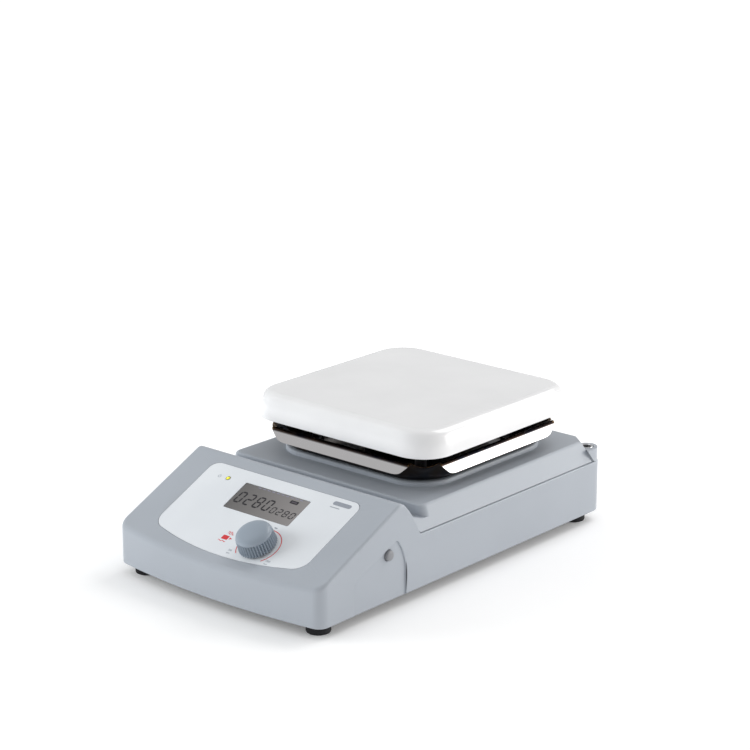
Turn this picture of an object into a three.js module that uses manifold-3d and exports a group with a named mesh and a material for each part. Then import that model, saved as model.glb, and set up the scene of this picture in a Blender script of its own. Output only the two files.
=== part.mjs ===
// Digital magnetic stirrer with a square ceramic-coated work plate.
// Millimetres, +Z up, the control panel faces -Y; the origin is on the floor at the centre of the footprint.
import * as THREE from "three";
import { mergeVertices } from "three/addons/utils/BufferGeometryUtils.js";
import Module from "manifold-3d";

const wasm = await Module();
wasm.setup();

// ---- driving dimensions ----
const GAP = 0.3; // assembly clearance between touching pieces
const HALF_W = 90; // half the housing's width
const FRONT_Y = -150; // front of the bowed front face
const REAR_Y = 150;
const WALL = 2.5; // moulded wall thickness
const FOOT_H = 7.3; // height of the housing's lower rim above the floor
const SEAM_Z = 44; // top of the lower housing's side walls
const COVER_Z = 59.7; // flat top of the cover
const PLATE_Z = 102.1; // working surface
const RIDGE = { y: -67.5, z: 69.4 }; // highest line of the control face
const PANEL_TILT = THREE.MathUtils.degToRad(25.1);
const FRONT_CORNER_R = 8;
const REAR_CORNER_R = 9;
const BOW_ANGLE = THREE.MathUtils.degToRad(8.5); // how far the front face turns back at its ends
const PLATE_Y = 50; // centre of the work plate and motor
const PLATE_HALF = 81;
const BOTTOM_COVER = { z0: 7.5, z1: 9.5 };
const FOOT = { x: 76.5, frontY: -130.5, rearY: 135, r: 8 };
const BOSS = { x: 81.5, y: 141.5, r: 7.5, base: 26, top: 53.5 }; // support-rod boss
const BUSH = { bore: 3.4, r: 5, z0: 36, z1: 53.9 }; // metal bush in each boss
const BUTTON = { y: -78.9, z: 38.2, r: 3.5, proud: 1.5 }; // power button on the right side
const RECESS_DEPTH = 1; // shaped recess in each side wall
const KNOB = { x: 22.5, s: 65.5, r: 13, h: 14, lift: 1.1 };
const SHAFT_R = 3; // encoder shaft and motor shaft
const INLET = { x: 40, w: 50, h: 30, z: 25.5 }; // mains inlet flange on the rear wall
const DISPLAY = { x: 0.3, s: 31.4, w: 57, h: 24.2 }; // s is measured down the control face from the ridge
const LED = { x: -44.3, s: 20.2 };
const BOARD_DEPTH = 10.8; // control board's upper face under the control face
const BOARD = 1.6; // circuit board thickness
const SHEET = 0.9; // heat-shield tray's sheet metal
const TRAY_Z = 62.9; // underside of the tray's floor
const PLATE_BASE = 84; // lower edge of the work plate
const PLATE_HOLLOW_Z = 96; // ceiling of the hollow under the work plate
const HEATER_R = 58;
const MOTOR = { r: 30, z0: 17, z1: 47.4 };
const MAGNET = { x: 22, r: 9, z0: 73.3, z1: 81.5 };
const POWER_BOARD_Z = 12; // underside of the power board
const DETAIL_STEPS = 28; // segments round the larger turned pieces

// ---- colours and finishes ----
const finish = (color, roughness, metalness = 0) => ({ color, roughness, metalness });
const GREY = finish(0xa9b1ba, 0.5);
const WHITE_CERAMIC = finish(0xf2f3f5, 0.18);
const OVERLAY_WHITE = finish(0xdfe3e8, 0.4);
const STAINLESS = finish(0xc8c8cc, 0.12, 1);
const STEEL = finish(0x9a9da1, 0.35, 1);
const RUBBER = finish(0x151418, 0.85);
const BLACK_PLASTIC = finish(0x1b1c1f, 0.5);
const BOARD_GREEN = finish(0x1f5a3a, 0.5);
const LENS = finish(0x84807c, 0.1);
const LED_YELLOW = finish(0xefe80a, 0.3);
const BRASS = finish(0xb89b5a, 0.35, 1);
const MAGNET_NICKEL = finish(0xb9bcc2, 0.25, 1);
const INSULATION = finish(0xd8d0bc, 0.95);

// ---- solids: every shape below is a manifold-3d solid made from three.js geometry ----
function solid(geometry) {
  geometry.deleteAttribute("normal");
  geometry.deleteAttribute("uv");
  const merged = mergeVertices(geometry, 1e-4);
  const vertProperties = merged.attributes.position.array;
  const triVerts = new Uint32Array(merged.index.array);
  return new wasm.Manifold(new wasm.Mesh({ numProp: 3, vertProperties, triVerts }));
}

function geometryOf(shape) {
  const { vertProperties, triVerts } = shape.getMesh();
  const geometry = new THREE.BufferGeometry();
  geometry.setAttribute("position", new THREE.BufferAttribute(vertProperties, 3));
  geometry.setIndex(new THREE.BufferAttribute(triVerts, 1));
  const flat = geometry.toNonIndexed();
  flat.computeVertexNormals();
  return flat;
}

const join = (...shapes) => shapes.reduce((whole, piece) => whole.add(piece));
const cut = (shape, ...tools) => tools.reduce((rest, tool) => rest.subtract(tool), shape);

// A flat outline, given as a Shape, from height z0 to z1.
function slab(outline, z0, z1, curveSegments = 3) {
  const geometry = new THREE.ExtrudeGeometry(outline, { depth: z1 - z0, bevelEnabled: false, curveSegments });
  return solid(geometry.translate(0, 0, z0));
}

// A side view, given as a Shape in (y, z), swept across the width from x0 to x1.
function acrossX(outline, x0, x1, curveSegments = 4) {
  const geometry = new THREE.ExtrudeGeometry(outline, { depth: x1 - x0, bevelEnabled: false, curveSegments });
  const turn = new THREE.Matrix4().makeBasis(
    new THREE.Vector3(0, 1, 0),
    new THREE.Vector3(0, 0, 1),
    new THREE.Vector3(1, 0, 0),
  );
  return solid(geometry.applyMatrix4(turn).translate(x0, 0, 0));
}

// A rear view, given as a Shape in (x, z), swept from y0 to y1.
function acrossY(outline, y0, y1, curveSegments = 3) {
  const geometry = new THREE.ExtrudeGeometry(outline, { depth: y1 - y0, bevelEnabled: false, curveSegments });
  return solid(geometry.rotateX(Math.PI / 2).translate(0, y1, 0));
}

// A box from its lowest to its highest corner.
function box(x0, y0, z0, x1, y1, z1) {
  const geometry = new THREE.BoxGeometry(x1 - x0, y1 - y0, z1 - z0);
  return solid(geometry.translate((x0 + x1) / 2, (y0 + y1) / 2, (z0 + z1) / 2));
}

// A turned piece about a vertical axis at (x, y): profile is [radius, height] from the bottom up.
function turned(profile, x = 0, y = 0, segments = 14) {
  const points = profile.map(([r, z]) => new THREE.Vector2(r, z));
  return solid(new THREE.LatheGeometry(points, segments).rotateX(Math.PI / 2).translate(x, y, 0));
}

const rod = (r, z0, z1, x = 0, y = 0, segments = 14) =>
  turned([[0, z0], [r, z0], [r, z1], [0, z1]], x, y, segments);

// A closed ring of [radius, height] points turned about a vertical axis.
function ring(profile, x = 0, y = 0, segments = 18) {
  return turned([...profile, profile[0]], x, y, segments);
}

// The solid between stacked level outlines: rings is [{ points, z }], all with the same number of points.
function loft(rings) {
  const count = rings[0].points.length;
  const vertices = rings.flatMap(({ points, z }) => points.flatMap((p) => [p.x, p.y, z]));
  const faces = [];
  for (let level = 0; level + 1 < rings.length; level += 1) {
    for (let i = 0; i < count; i += 1) {
      const next = (i + 1) % count;
      const [a, b] = [level * count + i, level * count + next];
      faces.push(a, b, b + count, a, b + count, a + count);
    }
  }
  const top = (rings.length - 1) * count;
  for (let i = 1; i + 1 < count; i += 1) {
    faces.push(0, i + 1, i);
    faces.push(top, top + i, top + i + 1);
  }
  const geometry = new THREE.BufferGeometry();
  geometry.setAttribute("position", new THREE.Float32BufferAttribute(vertices, 3));
  geometry.setIndex(faces);
  return solid(geometry);
}

// ---- outlines ----
function roundedRect(x0, y0, x1, y1, r) {
  const outline = new THREE.Shape();
  outline.absarc(x1 - r, y1 - r, r, 0, Math.PI / 2);
  outline.absarc(x0 + r, y1 - r, r, Math.PI / 2, Math.PI);
  outline.absarc(x0 + r, y0 + r, r, Math.PI, 1.5 * Math.PI);
  outline.absarc(x1 - r, y0 + r, r, 1.5 * Math.PI, 2 * Math.PI);
  return outline;
}

// Outline points without a repeated last point.
function pointsOf(outline, divisions = 3) {
  const points = outline.getPoints(divisions);
  const closed = points[0].distanceTo(points[points.length - 1]) < 1e-6;
  return closed ? points.slice(0, -1) : points;
}

function polygon(...corners) {
  return new THREE.Shape(corners.map(([a, b]) => new THREE.Vector2(a, b)));
}

// A square about the plate's centre, with rounded corners.
const plateSquare = (half, r) => pointsOf(roundedRect(-half, PLATE_Y - half, half, PLATE_Y + half, r));

// Stacked rounded squares about the plate's centre: levels are [half, corner radius, z] from the bottom up.
const plateLoft = (levels) => loft(levels.map(([half, r, z]) => ({ points: plateSquare(half, r), z })));

// The housing seen from above, moved inwards by inset: straight rear, front bowed forwards.
function footprint(inset) {
  const rearR = REAR_CORNER_R - inset;
  const frontR = FRONT_CORNER_R - inset;
  const cornerX = HALF_W - FRONT_CORNER_R;
  const fullX = cornerX + FRONT_CORNER_R * Math.sin(BOW_ANGLE);
  const cornerY = FRONT_Y + FRONT_CORNER_R * Math.cos(BOW_ANGLE) + (fullX * Math.tan(BOW_ANGLE)) / 2;
  const bowX = cornerX + frontR * Math.sin(BOW_ANGLE);
  const bowY = cornerY - frontR * Math.cos(BOW_ANGLE);
  const outline = new THREE.Shape();
  outline.absarc(HALF_W - REAR_CORNER_R, REAR_Y - REAR_CORNER_R, rearR, 0, Math.PI / 2);
  outline.absarc(-HALF_W + REAR_CORNER_R, REAR_Y - REAR_CORNER_R, rearR, Math.PI / 2, Math.PI);
  outline.absarc(-cornerX, cornerY, frontR, Math.PI, 1.5 * Math.PI - BOW_ANGLE);
  outline.quadraticCurveTo(0, bowY - bowX * Math.tan(BOW_ANGLE), bowX, bowY);
  outline.absarc(cornerX, cornerY, frontR, 1.5 * Math.PI + BOW_ANGLE, 2 * Math.PI);
  return outline;
}

const slopeZ = (y) => RIDGE.z + (y - RIDGE.y) * Math.tan(PANEL_TILT);

// Shared place of the control face: x across, y up the slope from the ridge, z out of the face.
const panelFrame = new THREE.Matrix4()
  .makeRotationX(PANEL_TILT)
  .setPosition(0, RIDGE.y, RIDGE.z);

// A solid drawn in the control face's own frame, moved to the housing's frame.
const onPanel = (shape) => shape.transform(panelFrame.elements.slice());

// The overlay's outline on the control face, with a lower edge that bows more than the front face does.
function overlayOutline(grow) {
  const [half, topS, bowS] = [65.8 + grow, 9.2 - grow, 82 + grow];
  const [topR, lowR] = [7, 11];
  const turn = THREE.MathUtils.degToRad(14.5);
  const endX = half - lowR + lowR * Math.sin(turn);
  const endS = bowS - (endX * Math.tan(turn)) / 2;
  const cornerS = endS - lowR * Math.cos(turn);
  const outline = new THREE.Shape();
  outline.absarc(half - topR, -topS - topR, topR, 0, Math.PI / 2);
  outline.absarc(-half + topR, -topS - topR, topR, Math.PI / 2, Math.PI);
  outline.absarc(-half + lowR, -cornerS, lowR, Math.PI, 1.5 * Math.PI - turn);
  outline.quadraticCurveTo(0, -2 * bowS + endS, endX, -endS);
  outline.absarc(half - lowR, -cornerS, lowR, 1.5 * Math.PI + turn, 2 * Math.PI);
  return outline;
}

// The side recess seen from the right: a front edge, a slanted top edge and a curved rear edge.
function recessOutline() {
  const outline = new THREE.Shape();
  outline.moveTo(-112.3, FOOT_H - 1);
  outline.lineTo(-112.3, 26);
  outline.quadraticCurveTo(-112.3, 28.5, -110.2, 29.6);
  outline.lineTo(-73, 45.3);
  outline.quadraticCurveTo(-71, 46.1, -69.8, 44.4);
  outline.quadraticCurveTo(-62.3, 34, -62.3, 20);
  outline.lineTo(-62.3, FOOT_H - 1);
  return outline;
}

// ---- the assembly ----
const stirrer = new THREE.Group();

function part(name, shape, look) {
  const mesh = new THREE.Mesh(geometryOf(shape), new THREE.MeshStandardMaterial(look));
  mesh.name = name;
  stirrer.add(mesh);
}

// Side view of the lower housing: sloping control face, ridge, curved back of the ridge, then the seam.
function housingSide() {
  const outline = new THREE.Shape();
  outline.moveTo(FRONT_Y - 5, FOOT_H);
  outline.lineTo(FRONT_Y - 5, slopeZ(FRONT_Y - 5));
  outline.lineTo(RIDGE.y, RIDGE.z);
  outline.lineTo(RIDGE.y + 1.6, RIDGE.z - 0.4);
  outline.quadraticCurveTo(-57, 63, -48, SEAM_Z);
  outline.lineTo(REAR_Y + 5, SEAM_Z);
  outline.lineTo(REAR_Y + 5, FOOT_H);
  return outline;
}

function cavitySide() {
  const drop = WALL / Math.cos(PANEL_TILT);
  const outline = new THREE.Shape();
  outline.moveTo(FRONT_Y - 5, 0);
  outline.lineTo(FRONT_Y - 5, slopeZ(FRONT_Y - 5) - drop);
  outline.lineTo(RIDGE.y - 0.6, slopeZ(RIDGE.y - 0.6) - drop);
  outline.quadraticCurveTo(-59.3, 60.5, -50.7, 42);
  outline.lineTo(-47.5, 42);
  outline.lineTo(-47.5, SEAM_Z + 5);
  outline.lineTo(REAR_Y + 5, SEAM_Z + 5);
  outline.lineTo(REAR_Y + 5, 0);
  return outline;
}

// Ear-shaped boss for a support rod in a rear corner, with a front that leans back like the cover's corner;
// side is 1 for right and -1 for left.
function rodBoss(side) {
  const { x, y, r, base, top } = BOSS;
  const edge = HALF_W - 0.4;
  const [cornerX, cornerY] = [edge - REAR_CORNER_R, REAR_Y - 0.4 - REAR_CORNER_R];
  const outline = new THREE.Shape();
  outline.moveTo(edge, 131);
  outline.lineTo(edge, cornerY);
  outline.absarc(cornerX, cornerY, REAR_CORNER_R, 0, Math.PI / 2);
  outline.absarc(x, y, r, 0.6 * Math.PI, 1.3 * Math.PI);
  const ear = slab(outline, SEAM_Z - 2, top).intersect(cornerCut(1, -GAP));
  const boss = join(ear, rod(r, base, top, x, y, DETAIL_STEPS));
  return side > 0 ? boss : boss.mirror([1, 0, 0]);
}

function footSpots() {
  const spots = [];
  for (const [row, y] of [["front", FOOT.frontY], ["rear", FOOT.rearY]]) {
    for (const [hand, x] of [["left", -FOOT.x], ["right", FOOT.x]]) {
      spots.push({ label: `${row}_${hand}`, x, y });
    }
  }
  return spots;
}

// A screw boss above each foot, with a rib to the nearest side wall.
function footBoss({ x, y }) {
  const wallX = Math.sign(x) * (HALF_W - 1);
  const [low, high] = [Math.min(x, wallX), Math.max(x, wallX)];
  const post = join(rod(5, 10, 28, x, y), box(low, y - 1, 10, high, y + 1, 26));
  return cut(post, rod(2, 9, 22, x, y));
}

function lowerHousing() {
  const sideView = acrossX(housingSide(), -HALF_W - 1, HALF_W + 1);
  const outer = slab(footprint(0), FOOT_H, RIDGE.z + 5, 4).intersect(sideView);
  const hollow = slab(footprint(WALL), 0, RIDGE.z + 5, 4).intersect(acrossX(cavitySide(), -HALF_W, HALF_W));
  const recess = (side) => {
    const [x0, x1] = side > 0 ? [HALF_W - RECESS_DEPTH, HALF_W + 5] : [-HALF_W - 5, -HALF_W + RECESS_DEPTH];
    return acrossX(recessOutline(), x0, x1);
  };
  const inletFrame = acrossY(roundedRect(12, 9.8, 68, 43, 3), REAR_Y - 5.5, REAR_Y - 2);
  const rearLedge = box(-76, REAR_Y - 9, SEAM_Z - 2.2, 76, REAR_Y - 2, SEAM_Z);
  const boardPosts = [-52, 52].flatMap((x) =>
    [-18, -70].map((y) => onPanel(rod(3, -BOARD_DEPTH + GAP, -2, x, y))),
  );
  const body = join(
    cut(outer, hollow),
    rodBoss(1),
    rodBoss(-1),
    inletFrame,
    rearLedge,
    ...footSpots().map(footBoss),
    ...boardPosts,
  );
  return cut(
    body,
    recess(1),
    recess(-1),
    onPanel(slab(overlayOutline(GAP), -0.8, 5, 4)),
    onPanel(slab(displayOutline(0.5), -5, 1)),
    onPanel(rod(4.8, -5, 1, KNOB.x, -KNOB.s)),
    onPanel(rod(1.8, -5, 1, LED.x, -LED.s, 12)),
    sideways(rod(BUTTON.r + 0.4, 80, 100)),
    ...[1, -1].map((side) => rod(BUSH.r + GAP, BUSH.z0 - 1, 60, side * BOSS.x, BOSS.y)),
    acrossY(inletOutline(GAP), REAR_Y - 2.6, REAR_Y + 5),
    acrossY(inletBodyOutline(GAP), REAR_Y - 10, REAR_Y),
    ...rearVents(),
  );
}

function displayOutline(grow) {
  const { x, s, w, h } = DISPLAY;
  return roundedRect(x - w / 2 - grow, -s - h / 2 - grow, x + w / 2 + grow, -s + h / 2 + grow, 0.8 + grow);
}

// A turned piece drawn upright, laid along +X at the power button.
function sideways(shape) {
  return shape.rotate([0, 90, 0]).translate([0, BUTTON.y, BUTTON.z]);
}

function inletOutline(grow) {
  const { x, z, w, h } = INLET;
  return roundedRect(x - w / 2 - grow, z - h / 2 - grow, x + w / 2 + grow, z + h / 2 + grow, 3 + grow);
}

function inletBodyOutline(grow) {
  const { x, z } = INLET;
  return roundedRect(x - 15 - grow, z - 14 - grow, x + 15 + grow, z + 14 + grow, 2 + grow);
}

// A row of upright cooling slots in the rear wall.
function rearVents() {
  const [count, firstX, pitch, halfWidth] = [9, -62, 7, 1.25];
  const slots = [];
  for (let i = 0; i < count; i += 1) {
    const x = firstX + pitch * i;
    slots.push(box(x - halfWidth, REAR_Y - 5, 16, x + halfWidth, REAR_Y + 5, 35));
  }
  return slots;
}

part("lower_housing", lowerHousing(), GREY);

// ---- top cover: sloped sides and rear, a lip over the groove behind the ridge, and the plinth ----
function coverSide() {
  const outline = new THREE.Shape();
  outline.moveTo(-47.2, SEAM_Z + GAP);
  outline.quadraticCurveTo(-50.6, 50.2, -53.2, 55.6);
  outline.lineTo(-42.5, 52.2);
  outline.quadraticCurveTo(-40.4, 51.6, -40.3, 53.6);
  outline.lineTo(-38.6, COVER_Z);
  outline.lineTo(REAR_Y, COVER_Z);
  outline.lineTo(REAR_Y, SEAM_Z + GAP);
  return outline;
}

function coverHollowSide() {
  const ceiling = COVER_Z - WALL;
  return polygon([-44.4, 40], [-44.4, 49], [-36, 49], [-36, ceiling], [REAR_Y, ceiling], [REAR_Y, 40]);
}

// The cover's sloped body: half width and rear edge at the seam and at the top, both moved in by inset.
function coverBody(inset) {
  const level = (half, rear, z) => ({
    points: pointsOf(roundedRect(-half + inset, -60, half - inset, rear - inset, 8 - inset)),
    z,
  });
  return loft([level(89.4, 144.5, SEAM_Z - 1), level(89.1, 144.2, SEAM_Z + GAP), level(84, 140.4, COVER_Z)]);
}

// The space outside the cover's slanting rear corner; side is 1 for right and -1 for left.
function cornerCut(side, inset) {
  const [nx, ny] = [0.62, 0.785]; // way out of the corner, seen from above
  const [topReach, lean, length] = [154.9, 0.664, 60];
  const level = (z) => {
    const reach = topReach + (COVER_Z - z) * lean - inset;
    const corner = (out, along) => new THREE.Vector2(side * (nx * out + ny * along), ny * out - nx * along);
    const points = [corner(reach, -length), corner(reach, length), corner(reach + length, 0)];
    return { points: side > 0 ? points : points.reverse(), z };
  };
  return loft([level(40), level(70)]);
}

const motorScrewSpots = [-48, 48].flatMap((x) => [-26, 26].map((dy) => ({ x, y: PLATE_Y + dy })));

function topCover() {
  const hollow = coverBody(WALL).intersect(acrossX(coverHollowSide(), -HALF_W, HALF_W));
  const shell = cut(
    coverBody(0).intersect(acrossX(coverSide(), -HALF_W, HALF_W)),
    cut(hollow, cornerCut(1, WALL), cornerCut(-1, WALL)),
  );
  const plinth = plateLoft([[69.6, 24.4, COVER_Z - 0.5], [69.4, 24.2, 61.6], [68.8, 23.8, 62.6]]);
  const posts = motorScrewSpots.map(({ x, y }) => rod(4, 50, COVER_Z - 1, x, y));
  return cut(
    join(shell, plinth, ...posts),
    rod(13, 40, 70, 0, PLATE_Y, DETAIL_STEPS),
    ...motorScrewSpots.map(({ x, y }) => rod(1.8, 45, 56, x, y, 8)),
    ...[1, -1].flatMap((side) => [
      cornerCut(side, 0),
      rod(BOSS.r + 0.5, 40, BOSS.top + 0.9, side * BOSS.x, BOSS.y, DETAIL_STEPS),
      rod(BUSH.r + GAP, 50, 70, side * BOSS.x, BOSS.y),
    ]),
  );
}
part("top_cover", topCover(), GREY);

// ---- bottom cover with its vents, and the feet with their screws ----
function bottomCover() {
  const plate = slab(footprint(WALL + 0.4), BOTTOM_COVER.z0, BOTTOM_COVER.z1, 4);
  const posts = [-55, 55].flatMap((x) => [-34, 4].map((y) => rod(3, 9, POWER_BOARD_Z - GAP, x, y)));
  const [rows, firstY, pitch, halfLength, halfWidth] = [7, 26, 8, 16, 1.5];
  const vents = [];
  for (const x of [-48, 48]) {
    for (let i = 0; i < rows; i += 1) {
      const y = firstY + pitch * i;
      vents.push(box(x - halfLength, y - halfWidth, 5, x + halfLength, y + halfWidth, 12));
    }
  }
  return cut(join(plate, ...posts), ...vents, ...footSpots().map(({ x, y }) => rod(2.3, 5, 12, x, y)));
}
part("bottom_cover", bottomCover(), BLACK_PLASTIC);

for (const { label, x, y } of footSpots()) {
  const { r } = FOOT;
  const top = BOTTOM_COVER.z0 - GAP;
  const seat = [[2.4, 3.2], [4.6, 3.2], [4.6, 0]];
  const rubber = ring([...seat, [r - 0.6, 0], [r, 0.8], [r, top], [2.4, top]], x, y);
  part(`foot_${label}`, rubber, RUBBER);
  const head = [[0, 0.8], [3.2, 0.8], [4.1, 1.6], [4.1, 2.9]];
  const screw = turned([...head, [1.6, 2.9], [1.6, 20], [0, 20.5]], x, y);
  part(`foot_screw_${label}`, screw, STEEL);
}

// ---- support-rod sockets: a metal bush with a recessed plug ----
for (const [hand, side] of [["left", -1], ["right", 1]]) {
  const [x, y] = [side * BOSS.x, BOSS.y];
  const { bore, r, z0, z1 } = BUSH;
  part(`rod_socket_${hand}`, ring([[bore, z0], [r, z0], [r, z1], [bore, z1]], x, y), STAINLESS);
  part(`rod_socket_plug_${hand}`, rod(bore - GAP, z0 + 2, z1 - 1, x, y), BLACK_PLASTIC);
}

// ---- control face: overlay, display, status light, board ----
const overlay = cut(
  slab(overlayOutline(0), -0.5, 0, 4),
  slab(displayOutline(0.3), -2, 2),
  rod(4.8, -2, 2, KNOB.x, -KNOB.s),
  rod(1.8, -2, 2, LED.x, -LED.s, 12),
);
part("panel_overlay", onPanel(overlay), OVERLAY_WHITE);
part("display_window", onPanel(slab(displayOutline(0), -2.4, -0.15)), LENS);

const display = { x0: DISPLAY.x - 32, x1: DISPLAY.x + 32, y0: -DISPLAY.s - 15.5, y1: -DISPLAY.s + 15.5 };
part("display_module", onPanel(box(display.x0, display.y0, -8, display.x1, display.y1, -2.9)), BLACK_PLASTIC);
const lamp = turned([[0, -9.5], [1.5, -9.5], [1.5, -0.2], [1.1, 0.4], [0, 0.6]], LED.x, -LED.s, 12);
part("status_light", onPanel(lamp), LED_YELLOW);
part("control_board", onPanel(box(-58, -76, -BOARD_DEPTH - BOARD, 58, -12, -BOARD_DEPTH)), BOARD_GREEN);

// ---- rotary encoder: body with a bore, push plunger, shaft and nut, then the knob ----
const [knobX, knobY] = [KNOB.x, -KNOB.s];
const canHalf = 6.5;
const canBase = -BOARD_DEPTH + GAP;
const encoderCan = box(knobX - canHalf, knobY - canHalf, canBase, knobX + canHalf, knobY + canHalf, -2.9);
const encoderBody = cut(
  join(encoderCan, rod(4.4, -3, 2.4, knobX, knobY)),
  rod(SHAFT_R + 0.2, -9.7, 3, knobX, knobY),
);
part("encoder_body", onPanel(encoderBody), STEEL);
part("encoder_plunger", onPanel(rod(SHAFT_R - 0.3, -8.6, -6.7, knobX, knobY)), BRASS);
part("encoder_shaft", onPanel(rod(SHAFT_R, -6.4, 11.5, knobX, knobY)), STEEL);
const hexNut = cut(rod(6.8, 0.3, 2.1, knobX, knobY, 6), rod(4.7, 0, 3, knobX, knobY));
part("encoder_nut", onPanel(hexNut), STEEL);

// The knob: ribbed skirt, domed cap, and inside it a hub on the shaft.
function controlKnob() {
  const ribs = 30;
  const skirt = [];
  for (let i = 0; i < 2 * ribs; i += 1) {
    const angle = (Math.PI * i) / ribs;
    const r = i % 2 ? KNOB.r : KNOB.r - 0.7;
    skirt.push(new THREE.Vector2(r * Math.cos(angle), r * Math.sin(angle)));
  }
  const shrink = (k) => skirt.map((p) => p.clone().multiplyScalar(k));
  const body = loft([
    { points: skirt, z: KNOB.lift },
    { points: shrink(0.93), z: 11 },
  ]);
  const dome = [[12, 11.6], [11.1, 13.1], [8.5, 14.3], [4.5, 14.9], [0, KNOB.lift + KNOB.h]];
  const cap = turned([[0, 10.5], [12, 10.5], ...dome], 0, 0, 24);
  const hollow = ring([[5.4, 0], [10.6, 0], [10.2, 10], [5.4, 10]]);
  const hub = join(rod(5.6, 0, 3.3), rod(SHAFT_R + GAP, 0, 11.8));
  return cut(join(body, cap), hollow, hub).translate([knobX, knobY, 0]);
}
part("control_knob", onPanel(controlKnob()), GREY);

// ---- power button in the right side wall, and its switch ----
const buttonTip = HALF_W + BUTTON.proud;
const stem = [[0, 77], [1.8, 77], [1.8, 84]];
const flange = [[5.6, 84], [5.6, 86.9], [BUTTON.r, 86.9]];
const dome = [[BUTTON.r, buttonTip - 1], [BUTTON.r - 1, buttonTip - 0.3], [0, buttonTip]];
part("power_button", sideways(turned([...stem, ...flange, ...dome], 0, 0, 20)), GREY);
const switchBox = box(-6, -6, 62, 6, 6, 81.5);
part("power_switch", sideways(cut(switchBox, rod(2.1, 74, 90))), BLACK_PLASTIC);

// ---- stirring drive: bracket, motor, and the turning shaft with its magnets ----
const bracket = cut(
  slab(roundedRect(-56, PLATE_Y - 34, 56, PLATE_Y + 34, 6), 47.7, 49.7),
  rod(10, 40, 60, 0, PLATE_Y, DETAIL_STEPS),
  ...motorScrewSpots.map(({ x, y }) => rod(1.8, 40, 60, x, y, 8)),
);
part("motor_bracket", bracket, STEEL);
motorScrewSpots.forEach(({ x, y }, i) => {
  const screw = turned([[0, 44.6], [3, 44.6], [3, 47.4], [1.5, 47.4], [1.5, 55], [0, 55.5]], x, y);
  part(`bracket_screw_${i + 1}`, screw, STEEL);
});
const motorBlock = rod(MOTOR.r, MOTOR.z0, MOTOR.z1, 0, PLATE_Y, DETAIL_STEPS);
part("motor", cut(motorBlock, rod(SHAFT_R + 0.2, MOTOR.z0 + 2, 60, 0, PLATE_Y)), STEEL);
part("motor_shaft", rod(SHAFT_R, 20, 71, 0, PLATE_Y), STEEL);
const carrier = cut(
  turned([[0, 66], [8, 66], [8, 68.5], [33, 68.5], [33, 73], [0, 73]], 0, PLATE_Y, DETAIL_STEPS),
  rod(SHAFT_R + GAP, 60, 71.3, 0, PLATE_Y),
);
part("magnet_carrier", carrier, BLACK_PLASTIC);
for (const [hand, x] of [["north", -MAGNET.x], ["south", MAGNET.x]]) {
  part(`drive_magnet_${hand}`, rod(MAGNET.r, MAGNET.z0, MAGNET.z1, x, PLATE_Y, DETAIL_STEPS), MAGNET_NICKEL);
}

// ---- heat-shield tray: bowl on the plinth, a central collar, and four turned-down flaps ----
const postSpots = [-46, 46].flatMap((x) => [-46, 46].map((dy) => ({ x, y: PLATE_Y + dy })));

// One flap on the -Y side of the tray: a sloping sheet with slanted, rounded ends.
function frontFlap() {
  const [halfTop, halfBottom, drop] = [59, 46, 8.8];
  const face = new THREE.Shape();
  face.moveTo(-halfTop, 0);
  face.lineTo(halfTop, 0);
  face.quadraticCurveTo(54, 0.2 - drop, halfBottom, -drop);
  face.lineTo(-halfBottom, -drop);
  face.quadraticCurveTo(-54, 0.2 - drop, -halfTop, 0);
  const lean = THREE.MathUtils.radToDeg(Math.atan2(3, 8.7));
  const flap = slab(face, 0, SHEET).rotate([90 - lean, 0, 0]).translate([0, -75.2, 78.2]);
  const shoulder = box(-58, -75.8, 77.2, 58, -73.2, 78.1);
  return join(flap, shoulder);
}

function heatShieldTray() {
  const outer = plateLoft([[67.4, 27, TRAY_Z], [68.4, 27.5, 63.7], [74, 23, 77], [74.6, 22.5, 78.2]]);
  const floorZ = TRAY_Z + SHEET;
  const inner = plateLoft([[66.4, 26.5, floorZ], [67.4, 27, floorZ + 0.8], [73, 22.5, 77.1], [73.6, 22, 79]]);
  const collar = ring([[14.4, 63.3], [15.6, 63.3], [15.6, 65], [14.4, 65]], 0, PLATE_Y, 24);
  const flaps = [0, 90, 180, 270].map((turn) => frontFlap().rotate([0, 0, turn]).translate([0, PLATE_Y, 0]));
  return join(cut(outer, inner, rod(13.6, 60, 70, 0, PLATE_Y, 24)), collar, ...flaps);
}
part("heat_shield_tray", heatShieldTray(), STAINLESS);

for (const [i, { x, y }] of postSpots.entries()) {
  part(`plate_post_${i + 1}`, rod(4, TRAY_Z + SHEET + GAP, PLATE_HOLLOW_Z - GAP, x, y), STEEL);
}

// ---- work plate with the heater and its insulation in the hollow underneath ----
const plateSide = [
  [PLATE_HALF - 1, 22, PLATE_BASE],
  [PLATE_HALF, 23, 85.5],
  [PLATE_HALF, 23, 92],
  [PLATE_HALF - 0.8, 22.5, 96.5],
  [PLATE_HALF - 2.4, 21.5, 99.6],
  [PLATE_HALF - 4.8, 20, 101.4],
  [PLATE_HALF - 8, 18, PLATE_Z],
];
const plateHollow = plateLoft([[PLATE_HALF - 4, 19, 80], [PLATE_HALF - 4, 19, PLATE_HOLLOW_Z]]);
const workPlate = cut(plateLoft(plateSide), plateHollow);
part("work_plate", workPlate, WHITE_CERAMIC);
const heaterZ = 91.5; // underside of the heater disc
part("heater_disc", rod(HEATER_R, heaterZ, PLATE_HOLLOW_Z - GAP, 0, PLATE_Y, DETAIL_STEPS), STEEL);
part("insulation_disc", rod(HEATER_R, 85.5, heaterZ - GAP, 0, PLATE_Y, DETAIL_STEPS), INSULATION);

// ---- power supply: board, transformer, heat sink and the ribbon to the control board ----
const boardTop = POWER_BOARD_Z + BOARD;
part("power_board", box(-62, -38, POWER_BOARD_Z, 62, 8, boardTop), BOARD_GREEN);
part("transformer", box(-58, -34, boardTop + GAP, -14, 4, 40), BLACK_PLASTIC);

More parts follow.
